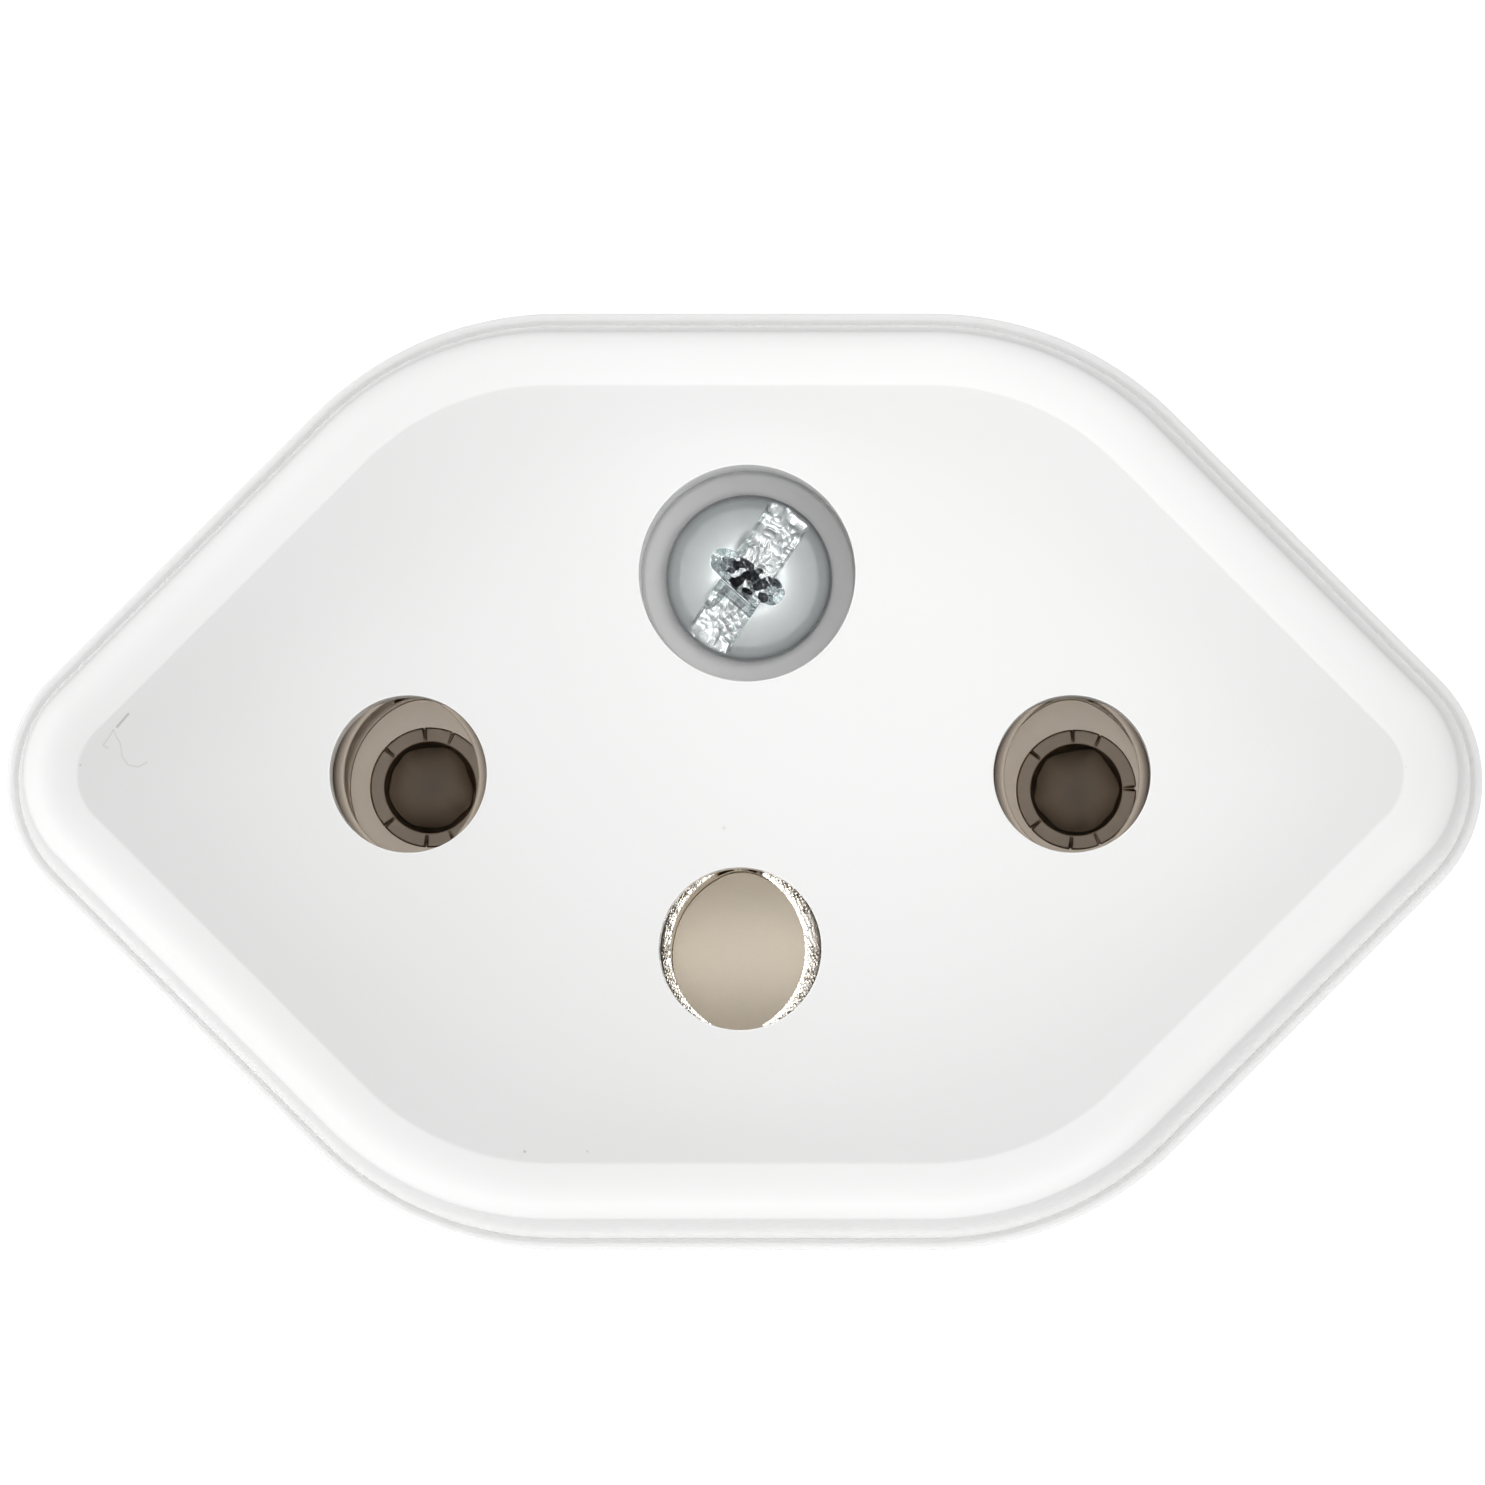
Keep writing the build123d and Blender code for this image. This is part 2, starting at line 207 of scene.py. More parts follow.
def makePiece(name, blocks, nodes, material, flats=(), sharp=35):
    # one mesh from all the blocks, in metres, with its flat places filled and its normals outwards
    starts = np.cumsum([0] + [len(verts) for verts, faces in blocks])
    verts = np.concatenate([verts for verts, faces in blocks])
    faces = np.concatenate([faces + start for (_, faces), start in zip(blocks, starts)])
    verts = (verts - np.array([0, body["depth"], 0])) / 1000
    mesh = bpy.data.meshes.new(name)
    mesh.from_pydata(verts.tolist(), [], faces.tolist())
    work = bmesh.new()
    work.from_mesh(mesh)
    bmesh.ops.remove_doubles(work, verts=work.verts, dist=1e-6)
    for depth in flats:
        level = (depth - body["depth"]) / 1000
        borders = [
            edge
            for edge in work.edges
            if edge.is_boundary and all(abs(vert.co.y - level) < 2e-7 for vert in edge.verts)
        ]
        bmesh.ops.triangle_fill(work, use_beauty=True, edges=borders, normal=(0, -1, 0))
    bmesh.ops.recalc_face_normals(work, faces=work.faces)
    work.to_mesh(mesh)
    loose = sum(1 for edge in work.edges if not edge.is_manifold)
    work.free()
    mesh.shade_smooth()
    mesh.set_sharp_from_angle(angle=math.radians(sharp))
    mesh.materials.append(material)
    piece = bpy.data.objects.new(name, mesh)
    bpy.context.scene.collection.objects.link(piece)
    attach(piece, "root")
    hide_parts(*nodes)
    print("made", name, len(mesh.polygons), "faces,", loose, "open edges")
    return piece


# Materials
def linear(code):
    # sRGB hex to linear RGBA
    parts = [int(code[i : i + 2], 16) / 255 for i in (1, 3, 5)]
    return [c / 12.92 if c <= 0.04045 else ((c + 0.055) / 1.055) ** 2.4 for c in parts] + [1]


def addNode(tree, kind, inputs=(), **settings):
    # one node with its settings, and each input set to a value or linked from a socket
    node = tree.nodes.new(kind)
    for name, value in settings.items():
        setattr(node, name, value)
    for name, value in dict(inputs).items():
        if isinstance(value, bpy.types.NodeSocket):
            tree.links.new(value, node.inputs[name])
        else:
            node.inputs[name].default_value = value
    return node


def newMaterial(name):
    material = bpy.data.materials.new(name)
    material.use_nodes = True
    tree = material.node_tree
    tree.nodes.clear()
    return material, tree


whitePlastic = {
    "colour": "#f3f3f3",
    "shade": "#efefee",
    "roughness": 0.16,
    "roughnessRange": (-0.03, 0.04),
    "sink": 9.0,  # mm between the slow swells that cooling leaves
    "sinkDepth": 0.0015,
    "grain": 0.35,  # mm, polishing of the mould
    "grainDepth": 0.0002,
    "ior": 1.54,
    "scatter": 0.12,
    "scatterReach": 0.0012,  # metres
}


def onFace(across, up):
    # a point of the socket face, in metres
    return Vector((across, -body["depth"], up)) / 1000


def lineGap(tree, place, start, end):
    # distance to a line's stretch: |p - a - t (b - a)|, with t the clamped share along it
    run = end - start
    away = addNode(tree, "ShaderNodeVectorMath", {0: place, 1: start}, operation="SUBTRACT").outputs[0]
    inputs = {0: away, 1: run / run.length_squared}
    dot = addNode(tree, "ShaderNodeVectorMath", inputs, operation="DOT_PRODUCT")
    share = addNode(tree, "ShaderNodeClamp", {"Value": dot.outputs["Value"]}).outputs[0]
    foot = addNode(tree, "ShaderNodeVectorMath", {0: run, "Scale": share}, operation="SCALE").outputs[0]
    return addNode(tree, "ShaderNodeVectorMath", {0: away, 1: foot}, operation="DISTANCE").outputs["Value"]


def mouldedUrea(name, specks=(), scratches=()):
    # white urea moulding from a polished steel mould: glossy, dense white, faint swells in its reflections
    material, tree = newMaterial(name)
    place = addNode(tree, "ShaderNodeTexCoord").outputs["Object"]
    swell = addNode(
        tree,
        "ShaderNodeTexNoise",
        {"Vector": place, "Scale": 1000 / whitePlastic["sink"], "Detail": 1.0},
    )
    grain = addNode(
        tree,
        "ShaderNodeTexNoise",
        {"Vector": place, "Scale": 1000 / whitePlastic["grain"], "Detail": 3.0},
    )
    tones = [linear(whitePlastic[key]) for key in ("colour", "shade")]
    tone = addNode(
        tree,
        "ShaderNodeMix",
        {"Factor": swell.outputs["Fac"], 6: tones[0], 7: tones[1]},
        data_type="RGBA",
    )
    colour = tone.outputs[2]
    marks = []
    for across, up, size, strength, code in specks:
        gap = addNode(tree, "ShaderNodeVectorMath", {0: place, 1: onFace(across, up)}, operation="DISTANCE")
        marks.append((gap.outputs["Value"], size, strength, code))
    for points, width, strength, code in scratches:
        places = [onFace(across, up) for across, up in points]
        gap = lineGap(tree, place, places[0], places[1])
        for start, end in zip(places[1:], places[2:]):
            other = lineGap(tree, place, start, end)
            gap = addNode(tree, "ShaderNodeMath", {0: gap, 1: other}, operation="MINIMUM").outputs[0]
        marks.append((gap, width, strength, code))
    for gap, size, strength, code in marks:
        near = addNode(
            tree,
            "ShaderNodeMapRange",
            {"Value": gap, "From Min": 0.0, "From Max": size / 1000, "To Min": strength, "To Max": 0.0},
        )
        colour = addNode(
            tree,
            "ShaderNodeMix",
            {"Factor": near.outputs["Result"], 6: colour, 7: linear(code)},
            data_type="RGBA",
        ).outputs[2]
    smoothest, roughest = [whitePlastic["roughness"] + change for change in whitePlastic["roughnessRange"]]
    rough = addNode(
        tree,
        "ShaderNodeMapRange",
        {"Value": grain.outputs["Fac"], "To Min": smoothest, "To Max": roughest},
    )
    slow = addNode(
        tree,
        "ShaderNodeBump",
        {"Height": swell.outputs["Fac"], "Strength": 1.0, "Distance": whitePlastic["sinkDepth"] / 1000},
    )
    fine = addNode(
        tree,
        "ShaderNodeBump",
        {
            "Height": grain.outputs["Fac"],
            "Normal": slow.outputs["Normal"],
            "Strength": 1.0,
            "Distance": whitePlastic["grainDepth"] / 1000,
        },
    )
    shader = addNode(
        tree,
        "ShaderNodeBsdfPrincipled",
        {
            "Base Color": colour,
            "Roughness": rough.outputs["Result"],
            "Normal": fine.outputs["Normal"],
            "IOR": whitePlastic["ior"],
            "Subsurface Weight": whitePlastic["scatter"],
            "Subsurface Radius": (1.0, 1.0, 1.0),
            "Subsurface Scale": whitePlastic["scatterReach"],
        },
    )
    addNode(tree, "ShaderNodeOutputMaterial", {"Surface": shader.outputs["BSDF"]})
    return material


metalFinish = {
    "film": 1.6,  # mm between the slow patches of a duller film
    "roughnessShares": (0.75, 1.3),
}


def wroughtMetal(name, tones, roughness, lines, bumpDepth, ends=()):
    # drawn, turned or plated metal: fine lines along its making and slow patches of a duller film;
    # lines gives their length and width in mm, and each end gives a tone and a roughness, and the depths
    # between which they come in
    lineLength, lineWidth = lines
    material, tree = newMaterial(name)
    place = addNode(tree, "ShaderNodeTexCoord").outputs["Object"]
    squeeze = (1.0, lineWidth / lineLength, 1.0)
    stretched = addNode(tree, "ShaderNodeMapping", {"Vector": place, "Scale": squeeze})
    streaks = addNode(
        tree,
        "ShaderNodeTexNoise",
        {"Vector": stretched.outputs["Vector"], "Scale": 1000 / lineWidth, "Detail": 4.0},
    )
    film = addNode(
        tree,
        "ShaderNodeTexNoise",
        {"Vector": place, "Scale": 1000 / metalFinish["film"], "Detail": 3.0},
    )
    tone = addNode(
        tree,
        "ShaderNodeMix",
        {"Factor": film.outputs["Fac"], 6: linear(tones[0]), 7: linear(tones[1])},
        data_type="RGBA",
    )
    smoothest, roughest = [roughness * share for share in metalFinish["roughnessShares"]]
    rough = addNode(
        tree,
        "ShaderNodeMapRange",
        {"Value": streaks.outputs["Fac"], "To Min": smoothest, "To Max": roughest},
    )
    colour = tone.outputs[2]
    gloss = rough.outputs["Result"]
    parts = addNode(tree, "ShaderNodeSeparateXYZ", {0: place})
    # an end that darkens a deep place paints shade there
    for endColour, endRoughness, fromDepth, toDepth in ends:
        limits = [(depth - body["depth"]) / 1000 for depth in (fromDepth, toDepth)]
        near = addNode(
            tree,
            "ShaderNodeMapRange",
            {"Value": parts.outputs["Y"], "From Min": limits[0], "From Max": limits[1]},
        ).outputs["Result"]
        toned = addNode(tree, "ShaderNodeMix", {0: near, 6: colour, 7: linear(endColour)}, data_type="RGBA")
        colour = toned.outputs[2]
        gloss = addNode(tree, "ShaderNodeMix", {0: near, 2: gloss, 3: endRoughness}).outputs[0]
    bump = addNode(
        tree,
        "ShaderNodeBump",
        {"Height": streaks.outputs["Fac"], "Strength": 1.0, "Distance": bumpDepth / 1000},
    )
    shader = addNode(
        tree,
        "ShaderNodeBsdfPrincipled",
        {
            "Base Color": colour,
            "Metallic": 1.0,
            "Roughness": gloss,
            "Normal": bump.outputs["Normal"],
        },
    )
    addNode(tree, "ShaderNodeOutputMaterial", {"Surface": shader.outputs["BSDF"]})
    return material


blackPlastic = {
    "colour": "#1c1c1d",
    "shade": "#262627",
    "roughness": 0.38,
    "roughnessRange": (-0.06, 0.08),
    "grain": 0.25,  # mm, texture of the mould
    "grainDepth": 0.003,
    "ior": 1.53,
}


def mouldedNylon(name):
    # insulating sleeve moulded on the pin: dark, satin, a little uneven from its fine mould texture
    material, tree = newMaterial(name)
    place = addNode(tree, "ShaderNodeTexCoord").outputs["Object"]
    grain = addNode(
        tree,
        "ShaderNodeTexNoise",
        {"Vector": place, "Scale": 1000 / blackPlastic["grain"], "Detail": 3.0},
    )
    tones = [linear(blackPlastic[key]) for key in ("colour", "shade")]
    tone = addNode(
        tree,
        "ShaderNodeMix",
        {"Factor": grain.outputs["Fac"], 6: tones[0], 7: tones[1]},
        data_type="RGBA",
    )
    bump = addNode(
        tree,
        "ShaderNodeBump",
        {"Height": grain.outputs["Fac"], "Strength": 1.0, "Distance": blackPlastic["grainDepth"] / 1000},
    )
    smoothest, roughest = [blackPlastic["roughness"] + change for change in blackPlastic["roughnessRange"]]
    rough = addNode(
        tree,
        "ShaderNodeMapRange",
        {"Value": grain.outputs["Fac"], "To Min": smoothest, "To Max": roughest},
    )
    shader = addNode(
        tree,
        "ShaderNodeBsdfPrincipled",
        {
            "Base Color": tone.outputs[2],
            "Roughness": rough.outputs["Result"],
            "Normal": bump.outputs["Normal"],
            "IOR": blackPlastic["ior"],
        },
    )
    addNode(tree, "ShaderNodeOutputMaterial", {"Surface": shader.outputs["BSDF"]})
    return material


# specks on the face: across, up, size in mm, strength and colour
faceSpecks = [
    (-6.16, -10.8, 0.06, 0.6, "#8f8a84"),
    (-4.37, -10.8, 0.05, 0.4, "#a09a94"),
    (19.05, 0.2, 0.05, 0.4, "#a09a94"),
    (11.15, -9.0, 0.06, 0.3, "#b0aaa4"),
    (-0.46, -1.55, 0.07, 0.35, "#b0aaa4"),
    (-11.3, 10.45, 0.12, 0.5, "#aab2bd"),
    (-18.88, 0.26, 0.05, 0.4, "#a09a94"),
]
# scratches on the face: points, half width in mm, strength and colour
faceScratches = [
    (((-17.83, 1.35), (-17.51, 1.72)), 0.05, 0.7, "#a3a2a0"),
    (
        (
            (-17.94, 1.26),
            (-17.83, 1.03),
            (-17.74, 0.89),
            (-17.68, 0.49),
            (-17.51, 0.26),
            (-17.22, 0.2),
            (-16.97, 0.34),
        ),
        0.035,
        0.32,
        "#b9b2aa",
    ),
    (((-17.94, 1.26), (-18.08, 1.03), (-18.23, 0.83), (-18.09, 0.74)), 0.035, 0.35, "#c4b6a8"),
]
whiteCover = mouldedUrea("polishedWhiteUreaCover", faceSpecks, faceScratches)
whiteHousing = mouldedUrea("polishedWhiteUreaHousing")
# clean drawn sheet: warm, light and satin, with a duller floor
nickelSilver = wroughtMetal(
    "drawnNickelSilver",
    tones=("#faf6ef", "#e8decf"),
    roughness=0.16,
    lines=(3.0, 0.12),
    bumpDepth=0.0006,
    ends=[("#efe9df", 0.2, 4.07, 4.0), ("#e4d9c8", 0.27, 19.0, 20.0)],
)
# the same sheet in the live sleeves: a brown film and painted shade darken its front edge, and a brown film
# dulls its floor
tarnishAndShadeNickelSilver = wroughtMetal(
    "tarnishAndShadeNickelSilver",
    tones=("#f6efe6", "#eee5da"),
    roughness=0.23,
    lines=(3.0, 0.12),
    bumpDepth=0.0006,
    # the front edge's dark tone is a brown film with painted shade
    ends=[("#8f857a", 0.45, 4.07, 4.0), ("#cdc3b7", 0.3, 21.1, 21.3)],
)
# plating over turned brass: warm grey, satin, with faint rings from the lathe
plating = {"tones": ("#cfc9bd", "#c0b9ac"), "roughness": 0.25, "lines": (0.9, 0.06), "bumpDepth": 0.0008}
nickelPlate = wroughtMetal("nickelPlatedBrass", **plating)
# the riveted end deep inside is duller and darkened with painted shade, and painted shade makes its bore
# darker still
rivetedNickel = wroughtMetal(
    "rivetedNickelPlatedBrass",
    **plating,
    # painted shade: dark deep inside and in the bore, lighter on the lip's face
    ends=[("#958c83", 0.46, 30.0, 29.0), ("#b8ada1", 0.42, 21.7, 21.45)],
)
# bright zinc plating: cold, light and glossy, with painted shade darkening it down in the torn recess and
# round the head's edge
brightZinc = wroughtMetal(
    "brightZincPlatedSteel",
    tones=("#f3f7f7", "#dfe5e6"),
    roughness=0.2,
    lines=(0.5, 0.2),
    bumpDepth=0.002,
    # painted shade below the dome's edge
    ends=[("#a8aaad", 0.34, 5.3, 5.6)],
)
# rolled spring strip: mid grey and satin
springSteel = wroughtMetal(
    "blueSpringSteel",
    tones=("#8a8a8c", "#6f7074"),
    roughness=0.35,
    lines=(2.0, 0.1),
    bumpDepth=0.002,
)
# turned brass: yellow, with clear lathe rings
turnedBrass = wroughtMetal(
    "turnedBrass",
    tones=("#d6b56a", "#c19d52"),
    roughness=0.28,
    lines=(0.8, 0.08),
    bumpDepth=0.002,
)
blackNylon = mouldedNylon("mouldedBlackNylon")
print("materials made")

# Front cover
cover = {
    "faceThickness": 2.2,
    "edgeStart": 12.0,  # degrees: the rounding meets the face at a faint crease
    "edgeRadius": 2.1,
    "holeEdge": 0.05,
    "collarWall": 1.2,
    "collarDepth": 3.7,
    "seatDepth": 6.5,
    "seatThickness": 1.6,
    "screwHole": 1.45,
    "bossWall": 1.25,
    "rootRadius": 0.3,
}


def makeCover():
    parting = body["parting"]
    inside = body["rimStep"] + body["wall"]
    face = body["rimStep"] + parting * draftSlope
    # arc of the face's edge: centre + R * (-sin a, -cos a), from the crease to where it meets the side
    turn = np.radians(np.linspace(cover["edgeStart"], 90 - body["draft"], 25))
    radius = cover["edgeRadius"]
    edgeDepth = radius * math.cos(turn[0])
    edgeInset = face - edgeDepth * draftSlope + radius / math.cos(math.radians(body["draft"]))
    edgeArc = np.stack([edgeInset - radius * np.sin(turn), edgeDepth - radius * np.cos(turn)], axis=1)
    top = inside + (parting - cover["faceThickness"]) * draftSlope
    tongueTop = inside - body["tongueThickness"]
    tongueEnd = parting + body["tongueLength"]
    shell = [
        edgeArc[-1],
        (body["rimStep"], parting, 0.03),
        (tongueTop, parting, 0.05),
        (tongueTop, tongueEnd, 0.1),
        (inside, tongueEnd, 0.1),
        (inside, parting),
        (top, cover["faceThickness"], cover["rootRadius"]),
        (top + cover["rootRadius"] + 0.05, cover["faceThickness"]),
    ]
    rows = np.concatenate([edgeArc[:-1], roundedProfile(shell, steps=14)])
    blocks = [skin(bodyOutline(), rows)]
    for across, up, radius in (
        (-holes["liveX"], 0, holes["liveRadius"]),
        (holes["liveX"], 0, holes["liveRadius"]),
        (0, holes["earthZ"], holes["earthRadius"]),
    ):
        outer = radius + cover["collarWall"]
        collar = [
            (radius + cover["holeEdge"] + 0.05, 0),
            (radius, 0, cover["holeEdge"]),
            (radius, cover["collarDepth"], 0.1),
            (outer, cover["collarDepth"], 0.2),
            (outer, cover["faceThickness"], cover["rootRadius"]),
            (outer + cover["rootRadius"] + 0.05, cover["faceThickness"]),
        ]
        blocks.append(turned(across, up, roundedProfile(collar)))
    boss = holes["wellRadius"] + cover["bossWall"]
    seatBack = cover["seatDepth"] + cover["seatThickness"]
    well = [
        (holes["wellRadius"] + cover["holeEdge"] + 0.05, 0),
        (holes["wellRadius"], 0, cover["holeEdge"]),
        (holes["wellRadius"], cover["seatDepth"], 0.15),
        (cover["screwHole"], cover["seatDepth"], 0.05),
        (cover["screwHole"], seatBack, 0.05),
        (boss, seatBack, 0.2),
        (boss, cover["faceThickness"]),
    ]
    blocks.append(turned(holes["wellX"], holes["wellZ"], roundedProfile(well), steps=160))
    return makePiece(
        "frontCoverShell",
        blocks,
        ["front_cover"],
        whiteCover,
        flats=[0, cover["faceThickness"]],
    )


makeCover()

# Rear housing
housing = {
    "rimEdge": 0.25,
    "plugEdge": 1.2,
    "pinHole": 1.53,
    "collarHole": 1.83,
    "collarDepth": 2.0,
    "footRadius": 2.05,
    "footDepth": 0.1,
    "bossRadius": 3.2,
    "bossTop": 8.1,
    "insertRadius": 2.02,
    "insertEnd": 14.6,
    "screwRadius": 1.45,
    "screwEnd": 17.6,
    "ribThickness": 1.2,
    "ribX": 5.0,
    "ribTop": 14.5,
    "ribReach": 12.15,
    "ribCorner": 0.15,
    "ribEdge": 0.12,
    "sunk": 0.5,  # how far the ribs and the boss reach into the floor
}


def barBlock(across, up, width, height, top, bottom):
    # an upright bar: a rectangle with rounded corners, carried from the bottom to the top
    corner = housing["ribCorner"]
    halfWidth = width / 2 - corner
    halfHeight = height / 2 - corner
    ends = [
        (halfWidth, halfHeight, 90),
        (halfWidth, -halfHeight, 0),
        (-halfWidth, -halfHeight, -90),
        (-halfWidth, halfHeight, 180),
    ]
    parts = [arcPieces((across + x, up + z), corner, angle, angle - 90, 5) for x, z, angle in ends]
    outline = tuple(np.concatenate([part[i] for part in parts]) for i in (0, 1))
    profile = roundedProfile(
        [(corner, bottom), (0, bottom), (0, top, housing["ribEdge"]), (corner, top)],
        steps=4,
    )
    return skin(outline, profile)


def makeHousing():
    parting = body["parting"]
    inside = body["rimStep"] + body["wall"]
    plug = (body["depth"] - parting) * draftSlope
    floorInset = inside + (body["floorDepth"] - parting) * draftSlope
    rebate = inside - body["tongueThickness"] - body["tongueGap"]
    rebateEnd = parting + body["tongueLength"] + body["tongueGap"]
    shell = [
        (floorInset + 0.45, body["floorDepth"]),
        (floorInset, body["floorDepth"], 0.4),
        (inside + (rebateEnd - parting) * draftSlope, rebateEnd, 0.05),
        (rebate, rebateEnd, 0.1),
        (rebate, parting, 0.08),
        (0, parting, housing["rimEdge"]),
        (plug, body["depth"], housing["plugEdge"]),
        (plug + housing["plugEdge"] + 0.15, body["depth"]),
    ]
    blocks = [skin(bodyOutline(), roundedProfile(shell, steps=14))]
    socket = body["depth"] - housing["collarDepth"]
    foot = body["depth"] - housing["footDepth"]
    pinHole = [
        (housing["footRadius"] + 0.15, body["depth"]),
        (housing["footRadius"], body["depth"], 0.05),
        (housing["footRadius"], foot),
        (housing["collarHole"], foot),
        (housing["collarHole"], socket),
        (housing["pinHole"], socket),
        (housing["pinHole"], body["floorDepth"]),
        (housing["pinHole"] + 0.1, body["floorDepth"]),
    ]
    for across in (-holes["liveX"], 0, holes["liveX"]):
        blocks.append(turned(across, 0, roundedProfile(pinHole, steps=5)))
    sunk = body["floorDepth"] + housing["sunk"]
    boss = [
        (0, sunk),
        (housing["bossRadius"], sunk),
        (housing["bossRadius"], housing["bossTop"], 0.1),
        (housing["insertRadius"], housing["bossTop"], 0.05),
        (housing["insertRadius"], housing["insertEnd"]),
        (housing["screwRadius"], housing["insertEnd"]),
        (housing["screwRadius"], housing["screwEnd"]),
        (0, housing["screwEnd"]),
    ]
    blocks.append(turned(holes["wellX"], holes["wellZ"], roundedProfile(boss, steps=4), steps=96))
    for side in (-1, 1):
        blocks.append(
            barBlock(
                side * housing["ribX"],
                0,
                housing["ribThickness"],
                2 * housing["ribReach"],
                housing["ribTop"],
                sunk,
            )
        )
    return makePiece(
        "rearHousingShell",
        blocks,
        ["rear_housing"],
        whiteHousing,
        flats=[body["depth"], body["floorDepth"], housing["ribTop"], sunk],
    )


makeHousing()

# Screw
screw = {
    "seat": 6.5,
    "radius": 2.4,
    "side": 1.15,
    "dome": 0.56,
    "rim": 0.8,
    "slotWidth": 1.36,
    "slotDepth": 0.66,
    "slotAngle": 57.0,
    "crossReach": (1.25, 1.15),  # upper left arm and lower right arm
    "crossWidth": 1.0,
    "crossDepth": 0.8,
    "rags": 0.25,
    "wallRun": 0.09,
    "torn": 0.08,
    # lips that the driver threw up on the slot's edge: place along and across the slot, and length
    "burrs": ((-1.05, 0.52, 0.42), (0.75, 0.6, 0.3)),
    "burr": 0.12,
    "burrWidth": 0.13,
    # the lip curled up across the slot, and the groove beside it
    "curlDepth": 0.0,
    "curlPlace": 0.56,
    "curlSlope": 0.15,
    "curlWidth": 0.13,
    "curlMiddle": 0.08,
    "curlReach": 0.72,
    "curlFall": 0.12,
    "grooveDepth": 0.12,
    "groovePlace": 0.76,
    "grooveWidth": 0.07,
    "shank": 1.3,
    "length": 10.0,
    "pitch": 0.9,
    "threadDepth": 0.22,
    "point": 0.9,
}


def screwRecess(x, z, dome):
    # the depth of the head's surface below its top: the lowest of dome, torn slot floor and tapered cross
    angle = math.radians(screw["slotAngle"])
    along = x * math.cos(angle) + z * math.sin(angle)
    across = -x * math.sin(angle) + z * math.cos(angle)
    run = screw["wallRun"]
    tears = np.abs(waves(along, across, 1.0, 9, 5)) + 0.4 * np.abs(waves(along, across, 0.45, 12, 6))
    slotFloor = screw["slotDepth"] - screw["torn"] * tears
    inSlot = step(screw["slotWidth"] / 2 - np.abs(across), 0, run)
    depth = dome + (slotFloor - dome) * inSlot * (slotFloor > dome)
    for alongPlace, acrossPlace, length in screw["burrs"]:
        away = ((along - alongPlace) / length) ** 2 + ((across - acrossPlace) / screw["burrWidth"]) ** 2
        depth = depth - screw["burr"] * np.exp(-away)
    # the cross: two arms across the slot, with a torn bottom that never lies flat
    reach = np.where(across > 0, screw["crossReach"][0], screw["crossReach"][1])
    taper = np.clip(1 - (across / reach) ** 2, 0, 1) ** 0.6
    inArm = step(screw["crossWidth"] / 2 * (0.5 + 0.5 * taper) - np.abs(along), 0, run * 1.6)
    rags = waves(along, across, 0.4, 16, 8) + 0.4 * waves(along, across, 0.17, 16, 9)
    depth = np.maximum(depth, (screw["crossDepth"] + screw["rags"] * rags) * taper * inArm)
    # the curled lip and its groove: bell curves across two slanted lines
    fromCurl = (along + screw["curlPlace"] - screw["curlSlope"] * across) / screw["curlWidth"]
    fromGroove = (along + screw["groovePlace"] - screw["curlSlope"] * across) / screw["grooveWidth"]
    within = step(screw["curlReach"] - np.abs(across - screw["curlMiddle"]), 0, 0.2)
    curl = np.exp(-(fromCurl**2)) * within
    depth = depth + screw["grooveDepth"] * np.exp(-(fromGroove**2)) * inSlot
    crest = screw["curlDepth"] + screw["curlFall"] * across**2
    return depth + (crest - depth) * curl * (depth > screw["curlDepth"])


def makeScrew():
    sphere = (screw["dome"] ** 2 + screw["radius"] ** 2) / (2 * screw["dome"])
    radius = np.linspace(0, screw["radius"] - screw["rim"] / 2, 120)
    domeRows = np.stack([radius, sphere - np.sqrt(sphere**2 - radius**2)], axis=1)
    edge = screw["dome"] + 0.2
    under = screw["dome"] + screw["side"]
    rimCorners = [
        tuple(domeRows[-1]),
        (screw["radius"], edge - 0.1, screw["rim"] / 2),
        (screw["radius"], under, 0.1),
        (screw["shank"], under, 0.1),
        (screw["shank"], under + 0.5),
        (0, under + 0.5),
    ]
    rimRows = roundedProfile(rimCorners, steps=6)
    head = np.concatenate([domeRows, rimRows[1:]])
    verts, faces = turned(0, 0, head, steps=480)
    dome = verts[:, 1]
    recess = screwRecess(verts[:, 0], verts[:, 2], dome)
    isTop = dome < screw["dome"] + 0.25
    verts[:, 1] = np.where(isTop, recess, dome)
    rows = np.linspace(under + 0.45, under + screw["length"] - 0.4, 150)
    columns = 96
    angle = np.linspace(0, 2 * np.pi, columns, endpoint=False)
    turn = (rows[:, None] / screw["pitch"] - angle[None] / (2 * np.pi)) % 1
    fade = step(rows, under + 0.6, under + 1.6)[:, None]
    shank = screw["shank"] - screw["threadDepth"] * fade * np.abs(2 * turn - 1)
    # the thread begins and ends in a pole, so that the shank is closed
    pole = np.zeros((1, columns))
    shank = np.concatenate([pole, shank, pole + screw["point"], pole])
    rows = np.concatenate([rows[:1], rows, np.full(2, under + screw["length"])])
    depth = np.repeat(rows[:, None], columns, axis=1)
    thread = surface(shank * np.cos(angle), depth, shank * np.sin(angle), closedAcross=True)
    blocks = [(verts, faces), thread]
    headTop = screw["seat"] - under
    blocks = [(v + np.array([holes["wellX"], headTop, holes["wellZ"]]), f) for v, f in blocks]
    return makePiece("coverScrewBody", blocks, ["cover_screw"], brightZinc, sharp=60)


makeScrew()

